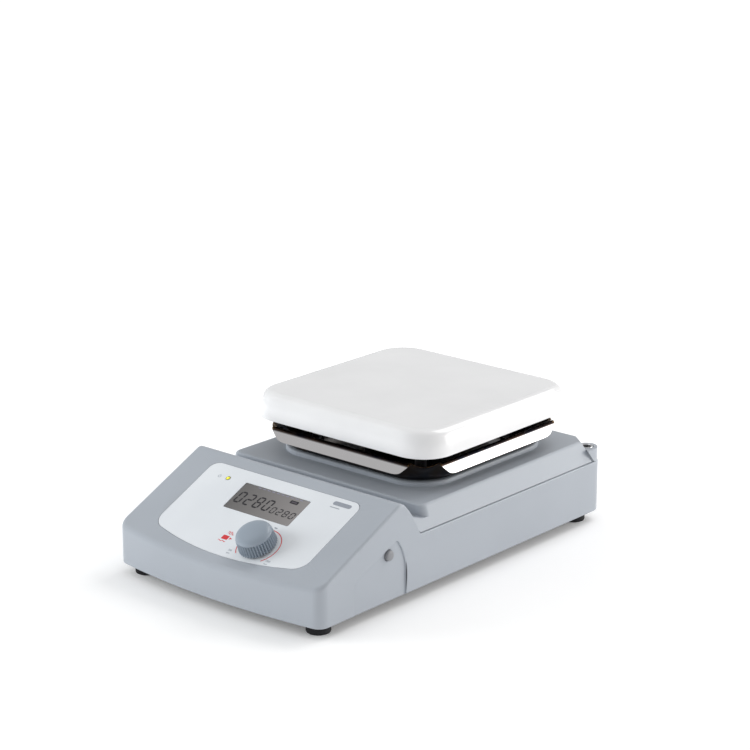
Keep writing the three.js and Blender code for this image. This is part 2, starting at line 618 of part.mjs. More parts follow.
function heatSink() {
  const [count, firstX, pitch, thickness] = [7, 14, 6, 2];
  const fins = [];
  for (let i = 0; i < count; i += 1) {
    const x = firstX + pitch * i;
    fins.push(box(x, -30, 15, x + thickness, 2, 38));
  }
  return join(box(firstX, -30, boardTop + GAP, 52, 2, 17), ...fins);
}
part("heat_sink", heatSink(), STEEL);

// Flat ribbon from the lower edge of the control board, along the floor, to the power board.
function ribbonCable() {
  const centre = [[-123, 26.5], [-119, 18.5], [-108, 14.5], [-70, 12.6], [-38.4, 12.6]];
  const lower = centre.map(([y, z]) => [y, z - 0.5]);
  const upper = centre.map(([y, z]) => [y, z + 0.5]).reverse();
  return acrossX(polygon(...lower, ...upper), -12, 12);
}
part("ribbon_cable", ribbonCable(), finish(0x8f9299, 0.6));

// ---- mains inlet: flange and body, socket with three pins, and the fuse drawer below it ----
const socket = { z: 30, w: 24.4, h: 16.4 };
const drawer = { z: 15.6, w: 24, h: 6 };
const { x: inletX } = INLET;

const centred = (w, h, z, r) => roundedRect(inletX - w / 2, z - h / 2, inletX + w / 2, z + h / 2, r);

const inletBody = cut(
  join(
    acrossY(inletOutline(0), REAR_Y - 2.3, REAR_Y),
    acrossY(inletBodyOutline(0), REAR_Y - 30, REAR_Y - 2.3),
  ),
  acrossY(centred(socket.w, socket.h, socket.z, 3), REAR_Y - 18, REAR_Y + 1),
  acrossY(centred(drawer.w + 0.6, drawer.h + 0.6, drawer.z, 0.6), REAR_Y - 26, REAR_Y + 1),
);
part("mains_inlet", inletBody, BLACK_PLASTIC);

for (const [label, dx, dz] of [["live", -7, -2], ["neutral", 7, -2], ["earth", 0, 2]]) {
  const [x, z] = [inletX + dx, socket.z + dz];
  part(`inlet_pin_${label}`, box(x - 1, REAR_Y - 17.7, z - 2, x + 1, REAR_Y - 2.5, z + 2), BRASS);
}
part("fuse_drawer", acrossY(centred(drawer.w, drawer.h, drawer.z, 0.4), REAR_Y - 25, REAR_Y), BLACK_PLASTIC);

// The button stands proud on one side only, so the whole is shifted to put its box's centre on the origin.
stirrer.position.x = -BUTTON.proud / 2;

export default stirrer;
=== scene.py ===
"""Looks of the magnetic stirrer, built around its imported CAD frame."""
import math

import bmesh
import bpy
from mathutils import Matrix, Vector

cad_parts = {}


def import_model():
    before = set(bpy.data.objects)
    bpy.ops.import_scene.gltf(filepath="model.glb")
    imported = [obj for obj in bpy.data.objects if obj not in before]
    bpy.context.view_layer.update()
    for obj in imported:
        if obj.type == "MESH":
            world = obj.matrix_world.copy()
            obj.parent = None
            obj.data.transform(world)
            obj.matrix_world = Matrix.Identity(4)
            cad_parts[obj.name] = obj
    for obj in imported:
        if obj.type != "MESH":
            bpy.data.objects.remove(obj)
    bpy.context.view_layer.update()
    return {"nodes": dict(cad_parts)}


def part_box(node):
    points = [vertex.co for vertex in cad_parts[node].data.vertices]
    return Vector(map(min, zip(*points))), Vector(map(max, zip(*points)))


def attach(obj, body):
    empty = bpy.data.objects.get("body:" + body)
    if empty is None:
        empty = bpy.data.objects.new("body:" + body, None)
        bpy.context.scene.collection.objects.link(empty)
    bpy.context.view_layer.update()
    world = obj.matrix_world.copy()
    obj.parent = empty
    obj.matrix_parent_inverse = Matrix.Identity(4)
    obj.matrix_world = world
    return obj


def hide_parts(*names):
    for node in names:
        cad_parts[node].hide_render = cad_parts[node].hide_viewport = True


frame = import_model()
NODES = frame["nodes"]

# ---- places, in millimetres, in the housing's own frame (x = 0 is its plane of symmetry) ----
MM = 0.001
PLATE_LOW, PLATE_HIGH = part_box("work_plate")
MIDDLE_X = (PLATE_LOW.x + PLATE_HIGH.x) / 2  # where the plane of symmetry stands in the shared frame
HOUSING_LOW, HOUSING_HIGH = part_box("lower_housing")
HALF_W = (HOUSING_HIGH.x - HOUSING_LOW.x) / 2 / MM
FRONT_Y = HOUSING_LOW.y / MM
REAR_Y = HOUSING_HIGH.y / MM
RIM_Z = HOUSING_LOW.z / MM
RIDGE_Y, RIDGE_Z = -67.5, HOUSING_HIGH.z / MM
SEAM_Z = 44.0
COVER_Z = 59.7
WALL = 2.5
TILT = math.radians(25.1)
BOW = math.radians(8.5)
FRONT_R, REAR_R = 8.0, 9.0
PLATE_Y = (PLATE_LOW.y + PLATE_HIGH.y) / 2 / MM
BOSS_X, BOSS_Y, BOSS_R, BOSS_TOP = 81.5, 141.5, 7.5, 53.5
BUTTON_Y, BUTTON_Z, BUTTON_R = -78.9, 38.2, 3.5
KNOB_X, KNOB_S = 22.5, 65.5
DISPLAY_X, DISPLAY_S, DISPLAY_W, DISPLAY_H = 0.3, 31.4, 57.0, 24.2
LED_X, LED_S = -44.3, 20.2
SPINDLE_HOLE_R, LAMP_HOLE_R = 4.8, 1.8
BUSH_HOLE_R = 5.3
INLET_X, INLET_Z, SOCKET_Z, DRAWER_Z = 40.0, 25.5, 30.0, 15.6
FOOT_X, FOOT_FRONT_Y, FOOT_REAR_Y = 76.5, -130.5, 135.0

TO_FRAME = Matrix.Translation((MIDDLE_X, 0, 0)) @ Matrix.Scale(MM, 4)
# The control face: x across, y up the slope from the ridge, z out of the face.
PANEL = Matrix.Translation((0, RIDGE_Y, RIDGE_Z)) @ Matrix.Rotation(TILT, 4, "X")
QUARTER = math.pi / 2
# The power button, drawn upright and laid along +X.
BUTTON_PLACE = Matrix.Translation((0, BUTTON_Y, BUTTON_Z)) @ Matrix.Rotation(QUARTER, 4, "Y")


# ---- outlines: lists of (x, y), anticlockwise ----
def arc(cx, cy, r, start, end, steps):
    angles = [start + (end - start) * i / steps for i in range(steps + 1)]
    return [(cx + r * math.cos(a), cy + r * math.sin(a)) for a in angles]


def bezier(a, b, c, steps):
    """Points of a quadratic curve from a to c, without its two ends."""
    points = []
    for i in range(1, steps):
        t = i / steps
        points.append(tuple((1 - t) ** 2 * p + 2 * t * (1 - t) * q + t * t * r for p, q, r in zip(a, b, c)))
    return points


def rounded_rect(x0, y0, x1, y1, r, steps=8):
    return (
        arc(x1 - r, y1 - r, r, 0, QUARTER, steps)
        + arc(x0 + r, y1 - r, r, QUARTER, 2 * QUARTER, steps)
        + arc(x0 + r, y0 + r, r, 2 * QUARTER, 3 * QUARTER, steps)
        + arc(x1 - r, y0 + r, r, 3 * QUARTER, 4 * QUARTER, steps)
    )


def centred_rect(cx, cy, w, h, r, steps=8):
    return rounded_rect(cx - w / 2, cy - h / 2, cx + w / 2, cy + h / 2, r, steps)


def footprint(inset=0.0, steps=12):
    """The housing seen from above: straight rear, and a front that bows forwards."""
    corner_x = HALF_W - FRONT_R
    full_x = corner_x + FRONT_R * math.sin(BOW)
    corner_y = FRONT_Y + FRONT_R * math.cos(BOW) + full_x * math.tan(BOW) / 2
    r = FRONT_R - inset
    bow_x = corner_x + r * math.sin(BOW)
    bow_y = corner_y - r * math.cos(BOW)
    rear_r = REAR_R - inset
    return (
        arc(HALF_W - REAR_R, REAR_Y - REAR_R, rear_r, 0, QUARTER, steps)
        + arc(-HALF_W + REAR_R, REAR_Y - REAR_R, rear_r, QUARTER, 2 * QUARTER, steps)
        + arc(-corner_x, corner_y, r, 2 * QUARTER, 3 * QUARTER - BOW, steps)
        + bezier((-bow_x, bow_y), (0, bow_y - bow_x * math.tan(BOW)), (bow_x, bow_y), 2 * steps)
        + arc(corner_x, corner_y, r, 3 * QUARTER + BOW, 4 * QUARTER, steps)
    )


def overlay_outline(grow=0.0, steps=10):
    half, top, bow = 65.8 + grow, 9.2 - grow, 82 + grow
    top_r, low_r, turn = 7.0, 11.0, math.radians(14.5)
    end_x = half - low_r + low_r * math.sin(turn)
    end_s = bow - end_x * math.tan(turn) / 2
    corner_s = end_s - low_r * math.cos(turn)
    left = arc(-half + low_r, -corner_s, low_r, 2 * QUARTER, 3 * QUARTER - turn, steps)
    right = arc(half - low_r, -corner_s, low_r, 3 * QUARTER + turn, 4 * QUARTER, steps)
    middle = bezier(left[-1], (0, -2 * bow + end_s), right[0], 2 * steps)
    return (
        arc(half - top_r, -top - top_r, top_r, 0, QUARTER, steps)
        + arc(-half + top_r, -top - top_r, top_r, QUARTER, 2 * QUARTER, steps)
        + left
        + middle
        + right
    )


def plate_square(half, r, steps=10):
    """A rounded square about the plate's centre."""
    return [(x, y + PLATE_Y) for x, y in rounded_rect(-half, -half, half, half, r, steps)]


# ---- solids, built in millimetres ----
def finished(bm, name):
    """A mesh object from bm, still in millimetres."""
    bmesh.ops.remove_doubles(bm, verts=bm.verts, dist=1e-4)
    bmesh.ops.recalc_face_normals(bm, faces=bm.faces)
    mesh = bpy.data.meshes.new(name)
    bm.to_mesh(mesh)
    bm.free()
    obj = bpy.data.objects.new(name, mesh)
    bpy.context.scene.collection.objects.link(obj)
    return obj


def loft(name, rings, caps=True):
    """rings: lists of (x, y, z) points, all of one length; without caps the last ring is the first again."""
    bm = bmesh.new()
    rows = [[bm.verts.new(p) for p in points] for points in rings]
    for low, high in zip(rows, rows[1:]):
        for i in range(len(low)):
            j = (i + 1) % len(low)
            bm.faces.new((low[i], low[j], high[j], high[i]))
    if caps:
        bm.faces.new(list(reversed(rows[0])))
        bm.faces.new(rows[-1])
    return finished(bm, name)


def prism(name, outline, z0, z1):
    return loft(name, [[(x, y, z) for x, y in outline] for z in (z0, z1)])


def prism_x(name, outline, x0, x1):
    """An outline of (y, z) points swept across the width."""
    return loft(name, [[(x, y, z) for y, z in outline] for x in (x0, x1)])


def prism_y(name, outline, y0, y1):
    """An outline of (x, z) points swept from front to back."""
    return loft(name, [[(x, y, z) for x, z in outline] for y in (y0, y1)])


def lathe(name, profile, centre=(0, 0), steps=48, closed=False):
    """profile: (radius, z) points; it starts and ends on the axis, or closes on itself."""
    bm = bmesh.new()
    rows = []
    for r, z in profile:
        if r < 1e-6:
            rows.append([bm.verts.new((centre[0], centre[1], z))])
        else:
            circle = arc(0, 0, r, 0, 4 * QUARTER, steps)[:-1]
            rows.append([bm.verts.new((centre[0] + x, centre[1] + y, z)) for x, y in circle])
    pairs = list(zip(rows, rows[1:])) + ([(rows[-1], rows[0])] if closed else [])
    for low, high in pairs:
        for i in range(steps):
            j = (i + 1) % steps
            ring = [low[i % len(low)], low[j % len(low)], high[j % len(high)], high[i % len(high)]]
            ring = list(dict.fromkeys(ring))
            if len(ring) > 2:
                bm.faces.new(ring)
    return finished(bm, name)


def cylinder(r, z0, z1, centre=(0, 0), steps=48):
    return lathe("cylinder", [(0, z0), (r, z0), (r, z1), (0, z1)], centre, steps)


def move(obj, matrix):
    obj.data.transform(matrix)
    if matrix.determinant() < 0:
        obj.data.flip_normals()
    return obj


def bake(obj):
    """Applies the modifiers."""
    bpy.context.view_layer.update()
    shown = obj.evaluated_get(bpy.context.evaluated_depsgraph_get())
    mesh = bpy.data.meshes.new_from_object(shown)
    obj.modifiers.clear()
    old = obj.data
    obj.data = mesh
    bpy.data.meshes.remove(old)
    return obj


def boolean(obj, tool, operation="DIFFERENCE"):
    mod = obj.modifiers.new("cut", "BOOLEAN")
    mod.operation = operation
    mod.solver = "MANIFOLD"
    mod.object = tool
    bake(obj)
    bpy.data.objects.remove(tool)
    return obj


def bevel(obj, width, segments=3, angle=35):
    mod = obj.modifiers.new("bevel", "BEVEL")
    mod.width = width
    mod.segments = segments
    mod.limit_method = "ANGLE"
    mod.angle_limit = math.radians(angle)
    mod.use_clamp_overlap = True
    return bake(obj)


def weighted_bevel(obj, width, weight_of, segments=6):
    """Rounds each edge to width times weight_of(its middle, its two faces' normals)."""
    mesh = obj.data
    key = "bevel_weight_edge"
    weights = mesh.attributes.get(key) or mesh.attributes.new(key, "FLOAT", "EDGE")
    normals = {}
    for face in mesh.polygons:
        for ends in face.edge_keys:
            normals.setdefault(ends, []).append(face.normal.copy())
    for edge in mesh.edges:
        a, b = (mesh.vertices[i].co for i in edge.vertices)
        weights.data[edge.index].value = weight_of((a + b) / 2, *normals[edge.key])
    mod = obj.modifiers.new("rim", "BEVEL")
    mod.width = width
    mod.segments = segments
    mod.limit_method = "WEIGHT"
    mod.use_clamp_overlap = False
    return bake(obj)


def merge(name, *objects):
    """Joins objects into one, without a boolean."""
    bm = bmesh.new()
    for obj in objects:
        bm.from_mesh(obj.data)
        bpy.data.objects.remove(obj)
    mesh = bpy.data.meshes.new(name)
    bm.to_mesh(mesh)
    bm.free()
    joined = bpy.data.objects.new(name, mesh)
    bpy.context.scene.collection.objects.link(joined)
    return joined


def piece(obj, name, material, body, replaces=(), smooth=35, on_panel=False):
    """Turns a solid in millimetres into a finished piece that rides on a body."""
    if on_panel:
        move(obj, PANEL)
    move(obj, TO_FRAME)
    obj.name = name
    obj.data.name = name
    obj.data.materials.clear()
    obj.data.materials.append(material)
    obj.data.polygons.foreach_set("use_smooth", [True] * len(obj.data.polygons))
    obj.data.set_sharp_from_angle(angle=math.radians(smooth))
    normals = obj.modifiers.new("normals", "WEIGHTED_NORMAL")
    normals.keep_sharp = True
    normals.weight = 60
    bake(obj)
    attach(obj, body)
    if replaces:
        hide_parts(*replaces)
    return obj


# ---- materials ----
def srgb(r, g, b):
    """A colour given as 0 to 255 sRGB values, as linear light."""
    def linear(v):
        v /= 255
        return v / 12.92 if v <= 0.04045 else ((v + 0.055) / 1.055) ** 2.4
    return (linear(r), linear(g), linear(b), 1)


class Nodes:
    """A small helper that builds a material's node tree."""

    def __init__(self, name):
        self.material = bpy.data.materials.new(name)
        self.material.use_nodes = True
        self.tree = self.material.node_tree
        self.shader = self.tree.nodes["Principled BSDF"]

    def add(self, kind, inputs=None, **settings):
        node = self.tree.nodes.new(kind)
        for key, value in settings.items():
            setattr(node, key, value)
        for key, value in (inputs or {}).items():
            if isinstance(value, bpy.types.NodeSocket):
                self.tree.links.new(value, node.inputs[key])
            else:
                node.inputs[key].default_value = value
        return node

    def link(self, source, target):
        self.tree.links.new(source, self.shader.inputs[target])

    def set(self, **values):
        for key, value in values.items():
            self.shader.inputs[key.replace("_", " ")].default_value = value

    def place(self):
        return self.add("ShaderNodeTexCoord").outputs["Object"]

    def noise(self, size_mm, detail=3.0, stretch=None):
        """Noise with features of about size_mm."""
        where = self.place()
        if stretch:
            where = self.add("ShaderNodeMapping", {"Vector": where, "Scale": stretch}).outputs["Vector"]
        inputs = {"Vector": where, "Scale": 1 / (size_mm * MM), "Detail": detail}
        return self.add("ShaderNodeTexNoise", inputs).outputs["Fac"]

    def ramp(self, value, low, high, start=0.3, end=0.7):
        node = self.add("ShaderNodeValToRGB", {"Fac": value})
        node.color_ramp.elements[0].position = start
        node.color_ramp.elements[0].color = low
        node.color_ramp.elements[1].position = end
        node.color_ramp.elements[1].color = high
        return node.outputs["Color"]

    def span(self, value, low, high):
        """A value of 0 to 1 as one from low to high."""
        inputs = {"Value": value, "To Min": low, "To Max": high}
        return self.add("ShaderNodeMapRange", inputs).outputs["Result"]

    def math(self, operation, a, b=0.0):
        return self.add("ShaderNodeMath", {0: a, 1: b}, operation=operation).outputs[0]

    def step(self, value, low, high):
        """0 below low, 1 above high, and a straight ramp between them."""
        inputs = {"Value": value, "From Min": low, "From Max": high}
        return self.add("ShaderNodeMapRange", inputs).outputs["Result"]

    def mix(self, share, a, b):
        """Colour a, or b where share is 1."""
        return self.add("ShaderNodeMix", {0: share, 6: a, 7: b}, data_type="RGBA").outputs[2]

    def bump(self, height, distance_mm, strength=1.0):
        inputs = {"Height": height, "Distance": distance_mm * MM, "Strength": strength}
        return self.add("ShaderNodeBump", inputs).outputs["Normal"]


def shade(colour, factor):
    return tuple(min(1.0, c * factor) for c in colour[:3]) + (1,)


def moulded_plastic(name, colour, roughness=0.42, grain_mm=0.35, depth_mm=0.02):
    n = Nodes(name)
    broad = n.noise(60, 2)
    n.link(n.ramp(broad, shade(colour, 0.975), shade(colour, 1.02)), "Base Color")
    grain = n.noise(grain_mm, 2)
    n.link(n.span(grain, roughness - 0.05, roughness + 0.07), "Roughness")
    n.link(n.bump(grain, depth_mm, 0.35), "Normal")
    return n.material


def metal(name, colour, roughness, depth_mm=0.004):
    n = Nodes(name)
    wear = n.noise(8, 4)
    n.link(n.ramp(wear, shade(colour, 0.94), shade(colour, 1.03)), "Base Color")
    fine = n.noise(0.5, 3)
    n.link(n.span(fine, roughness * 0.8, roughness * 1.3), "Roughness")
    n.link(n.bump(fine, depth_mm, 0.4), "Normal")
    n.set(Metallic=1.0)
    return n.material


GREY = moulded_plastic("grey_moulding", srgb(170, 176, 184))
KNOB_GREY = moulded_plastic("knob_moulding", srgb(146, 157, 169), roughness=0.33, depth_mm=0.008)
BUTTON_GREY = moulded_plastic("button_moulding", srgb(138, 139, 143), roughness=0.4, depth_mm=0.01)
BLACK = moulded_plastic("black_moulding", srgb(30, 31, 34), roughness=0.45)
INLET_BLACK = moulded_plastic("inlet_moulding", srgb(24, 24, 27), roughness=0.3, depth_mm=0.008)
RUBBER = moulded_plastic("rubber", srgb(20, 19, 24), roughness=0.75, grain_mm=0.6, depth_mm=0.05)
STEEL = metal("plated_steel", srgb(170, 172, 176), 0.3)
CHROME = metal("chromed_brass", srgb(214, 215, 218), 0.12)
BRASS = metal("brass", srgb(196, 165, 96), 0.3)
NICKEL = metal("nickel", srgb(200, 202, 206), 0.2)
ALUMINIUM = metal("cast_aluminium", srgb(190, 192, 196), 0.42, depth_mm=0.03)


def stainless_with_painted_shade():
    """Bright on the flaps' outer faces, painted shade makes the bowl dark, and a painted straw-coloured
    highlight lies on the corner rims.
    """
    n = Nodes("polished_stainless")
    where = n.add("ShaderNodeSeparateXYZ", {"Vector": n.place()})
    across = n.math("ABSOLUTE", n.math("SUBTRACT", where.outputs["X"], MIDDLE_X))
    along = n.math("ABSOLUTE", n.math("SUBTRACT", where.outputs["Y"], PLATE_Y * MM))
    reach = n.math("MAXIMUM", across, along)
    # The flaps' outer faces keep the steel's own bright colour.
    outer = n.step(reach, 76.1 * MM, 76.5 * MM)
    # Painted highlight: a straw-coloured band on the upward-facing tops of the corner rims.
    facing = n.add("ShaderNodeSeparateXYZ", {"Vector": n.add("ShaderNodeTexCoord").outputs["Normal"]})
    level = n.step(facing.outputs["Z"], 0.5, 0.8)
    high = n.step(where.outputs["Z"], 74 * MM, 74.8 * MM)
    corner = n.step(n.math("MINIMUM", across, along), 59 * MM, 60.5 * MM)
    rim = n.math("MULTIPLY", n.math("MULTIPLY", level, high), corner)
    # Painted shade: the dark bluish-brown noise in the bowl stands for the shade and dark reflections there.
    tint = n.ramp(n.noise(14, 2), srgb(22, 25, 36), srgb(58, 44, 34), 0.38, 0.68)
    painted_shade_and_highlight = n.mix(rim, tint, srgb(126, 98, 62))
    n.link(n.mix(outer, painted_shade_and_highlight, srgb(224, 222, 223)), "Base Color")
    n.link(n.span(n.noise(3, 2), 0.07, 0.13), "Roughness")
    n.link(n.bump(n.noise(9, 2), 0.02, 0.3), "Normal")
    n.set(Metallic=1.0)
    return n.material


def ceramic():
    n = Nodes("white_ceramic_coating")
    cloud = n.noise(45, 3)
    n.link(n.ramp(cloud, srgb(236, 236, 237), srgb(242, 242, 243)), "Base Color")
    peel = n.noise(2.2, 2)
    n.link(n.span(n.noise(12, 3), 0.16, 0.24), "Roughness")
    n.link(n.bump(peel, 0.01, 0.25), "Normal")
    n.set(Coat_Weight=0.6, Coat_Roughness=0.06)
    return n.material


def overlay_film():
    n = Nodes("overlay_film")
    n.link(n.ramp(n.noise(50, 2), srgb(222, 226, 231), srgb(230, 234, 238)), "Base Color")
    grain = n.noise(0.25, 2)
    n.link(n.span(grain, 0.36, 0.46), "Roughness")
    n.link(n.bump(grain, 0.006, 0.3), "Normal")
    return n.material


def ink(name, colour):
    n = Nodes(name)
    n.link(n.ramp(n.noise(0.6, 3), shade(colour, 0.9), shade(colour, 1.06)), "Base Color")
    n.link(n.span(n.noise(0.3, 2), 0.4, 0.5), "Roughness")
    return n.material


def display_face():
    """Grey liquid-crystal ground with painted shade, darker to the left."""
    n = Nodes("display_face")
    across = n.add("ShaderNodeSeparateXYZ", {"Vector": n.place()}).outputs["X"]
    # Painted shade: the ground darkens from right to left.
    painted_shade_across = n.step(across, -30 * MM, 30 * MM)
    n.link(n.ramp(painted_shade_across, srgb(92, 90, 89), srgb(140, 136, 135), 0.0, 1.0), "Base Color")
    n.link(n.span(n.noise(0.2, 2), 0.28, 0.36), "Roughness")
    n.set(Coat_Weight=0.5, Coat_Roughness=0.08)
    return n.material


def lamp_lens():
    n = Nodes("lamp_lens")
    glow = n.ramp(n.noise(1.0, 2), srgb(232, 226, 20), srgb(250, 246, 90))
    n.link(glow, "Base Color")
    n.link(glow, "Emission Color")
    n.set(Roughness=0.18, Emission_Strength=0.35, Coat_Weight=0.6)
    return n.material


def circuit_board():
    n = Nodes("circuit_board")
    cells = n.add("ShaderNodeTexBrick", {
        "Vector": n.place(), "Scale": 220.0, "Mortar Size": 0.03,
        "Color1": srgb(22, 92, 58), "Color2": srgb(18, 80, 50), "Mortar": srgb(52, 128, 84),
    })
    n.link(cells.outputs["Color"], "Base Color")
    n.link(n.span(n.noise(1.0, 2), 0.3, 0.45), "Roughness")
    return n.material


def insulation():
    n = Nodes("mineral_fibre")
    fibre = n.noise(1.2, 5, stretch=(1, 4, 1))
    n.link(n.ramp(fibre, srgb(196, 184, 156), srgb(228, 220, 198)), "Base Color")
    n.link(n.bump(fibre, 0.3, 0.6), "Normal")
    n.set(Roughness=0.95)
    return n.material


def transformer_tape():
    n = Nodes("transformer_tape")
    bands = n.add("ShaderNodeTexWave", {"Vector": n.place(), "Scale": 40.0, "Distortion": 0.3})
    n.link(n.ramp(bands.outputs["Fac"], srgb(44, 40, 36), srgb(150, 116, 40), 0.45, 0.55), "Base Color")
    n.link(n.span(n.noise(1.0, 2), 0.35, 0.5), "Roughness")
    return n.material


STAINLESS = stainless_with_painted_shade()
CERAMIC = ceramic()
FILM = overlay_film()
RED_INK = ink("red_ink", srgb(214, 52, 58))
GREY_INK = ink("grey_ink", srgb(150, 156, 166))
SEGMENT_INK = ink("display_segment", srgb(22, 20, 28))
BADGE_INK = ink("display_badge_centre", srgb(78, 72, 80))
FAINT_INK = ink("display_bar", srgb(138, 138, 156))
DISPLAY = display_face()
LAMP = lamp_lens()
BOARD = circuit_board()
FIBRE = insulation()
TAPE = transformer_tape()
RIBBON = ink("ribbon_jacket", srgb(150, 153, 160))

# ---- CAD nodes that keep their shape and get a finish ----
KEPT = {
    STEEL: ["motor", "motor_bracket", "motor_shaft", "encoder_body", "encoder_nut", "encoder_shaft"]
    + [n for n in NODES if n.startswith(("bracket_screw", "plate_post", "foot_screw"))],
    ALUMINIUM: ["heater_disc", "heat_sink"],
    BLACK: ["bottom_cover", "magnet_carrier", "display_module", "power_switch"],
    BOARD: ["control_board", "power_board"],
    TAPE: ["transformer"],
    FIBRE: ["insulation_disc"],
    RIBBON: ["ribbon_cable"],
    NICKEL: ["drive_magnet_north", "drive_magnet_south"],
    BRASS: ["encoder_plunger", "inlet_pin_live", "inlet_pin_neutral", "inlet_pin_earth"],
    INLET_BLACK: ["mains_inlet", "fuse_drawer"],
}
for material, names in KEPT.items():
    for name in names:
        NODES[name].data.materials.clear()
        NODES[name].data.materials.append(material)


# ---- lower housing ----
def slope_z(y):
    return RIDGE_Z + (y - RIDGE_Y) * math.tan(TILT)


def ridge_profile():
    """(y, z) points over the ridge and down its back to the seam, from front to rear."""
    start, crest = (RIDGE_Y - 2.0, slope_z(RIDGE_Y - 2.0)), (RIDGE_Y + 0.6, RIDGE_Z + 0.1)
    end = (RIDGE_Y + 2.8, RIDGE_Z - 1.1)
    foot = (-48.0, SEAM_Z)
    return [start] + bezier(start, crest, end, 6) + [end] + bezier(end, (-57.2, 62.5), foot, 12) + [foot]


def housing_shell(name, inset, drop, bottom, rim_z, ridge):
    """The housing as one solid block: a footprint with a sloping front and a curved ridge."""
    count = len(ridge)
    outline = footprint(inset)
    front = [p for p in outline if p[1] < ridge[0][0]]
    rear = [p for p in outline if p[1] > 0]
    half = HALF_W - inset
    bm = bmesh.new()

    def column(x, y, z):
        return bm.verts.new((x, y, bottom)), bm.verts.new((x, y, z))

    right = [column(half, y, z) for y, z in ridge]
    left = [column(-half, y, z) for y, z in ridge]
    nose = [column(x, y, slope_z(y) - drop) for x, y in front]
    back = [column(x, y, rim_z) for x, y in rear]
    loop = right + back + left[::-1] + nose
    for a, b in zip(loop, loop[1:] + loop[:1]):
        bm.faces.new((a[0], b[0], b[1], a[1]))
    bm.faces.new([c[0] for c in reversed(loop)])
    bm.faces.new([c[1] for c in [left[0]] + nose + [right[0]]])
    for i in range(count - 1):
        bm.faces.new((left[i][1], right[i][1], right[i + 1][1], left[i + 1][1]))
    bm.faces.new([c[1] for c in [right[-1]] + back + [left[-1]]])
    return finished(bm, name)


def rim_weight(middle, n1, n2):
    """Widest beside the control face, narrower down the back of the ridge, fine at the seam and below."""
    if middle.z < RIM_Z + 1:
        return 0.3 if min(n1.z, n2.z) < -0.9 and max(n1.z, n2.z) > -0.1 else 0
    walls = min(abs(n1.z), abs(n2.z)) < 0.02 and max(n1.z, n2.z) > 0.3
    if not walls:
        return 0
    if middle.y < RIDGE_Y - 3:
        return 1.0 - 0.35 * max(abs(n1.x), abs(n2.x))
    if middle.z > SEAM_Z + 0.5:
        return max(0.3, 0.65 - 0.03 * (middle.y - RIDGE_Y + 3))
    return 0.22


def recess_outline():
    """(y, z) outline of the shaped recess in the side wall."""
    low = RIM_Z - 2
    return (
        [(-112.3, low), (-112.3, 26)]
        + bezier((-112.3, 26), (-112.3, 28.5), (-110.2, 29.6), 6)
        + [(-110.2, 29.6), (-73.0, 45.3)]
        + bezier((-73.0, 45.3), (-71.0, 46.1), (-69.8, 44.4), 6)
        + [(-69.8, 44.4)]
        + bezier((-69.8, 44.4), (-62.3, 34), (-62.3, 20), 14)
        + [(-62.3, 20), (-62.3, low)]
    )


def recess_weight(middle, n1, n2):
    """The outer edge of each recess."""
    on_wall = abs(abs(middle.x) - HALF_W) < 0.02
    in_reach = -113 < middle.y < -61.8 and RIM_Z + 1 < middle.z < 46.5
    square = max(abs(n1.x), abs(n2.x)) > 0.99 and min(abs(n1.x), abs(n2.x)) < 0.1
    return 1.0 if on_wall and in_reach and square else 0


def rod_boss(side):
    """Ear-shaped boss for a support rod, with a front that leans back like the cover's corner."""
    edge, corner_y = HALF_W - 0.4, REAR_Y - 0.4 - REAR_R
    points = [(edge, 131)]
    points += arc(edge - REAR_R, corner_y, REAR_R, 0, QUARTER, 12)
    points += arc(BOSS_X, BOSS_Y, BOSS_R, 1.2 * QUARTER, 2.6 * QUARTER, 20)
    boss = prism("boss", points, SEAM_Z - 2, BOSS_TOP)
    boolean(boss, corner_cut(1, -0.3), "INTERSECT")
    boolean(boss, boss_core(1, BOSS_R, 26, BOSS_TOP), "UNION")
    bevel(boss, 0.6, 3, angle=50)
    if side < 0:
        move(boss, Matrix.Scale(-1, 4, (1, 0, 0)))
    return boss


def boss_core(side, r, z0, z1):
    """An upright rod at the middle of a boss, as a solid or as a tool."""
    return cylinder(r, z0, z1, (side * BOSS_X, BOSS_Y), 64)


def panel_openings(grow, low, high):
    """Tools for the display window, the knob's spindle and the lamp, in the control face's frame."""
    window = centred_rect(DISPLAY_X, -DISPLAY_S, DISPLAY_W + 2 * grow, DISPLAY_H + 2 * grow, 0.8 + grow)
    return [
        prism("window", window, low, high),
        cylinder(SPINDLE_HOLE_R, low, high, (KNOB_X, -KNOB_S)),
        cylinder(LAMP_HOLE_R, low, high, (LED_X, -LED_S), 24),
    ]


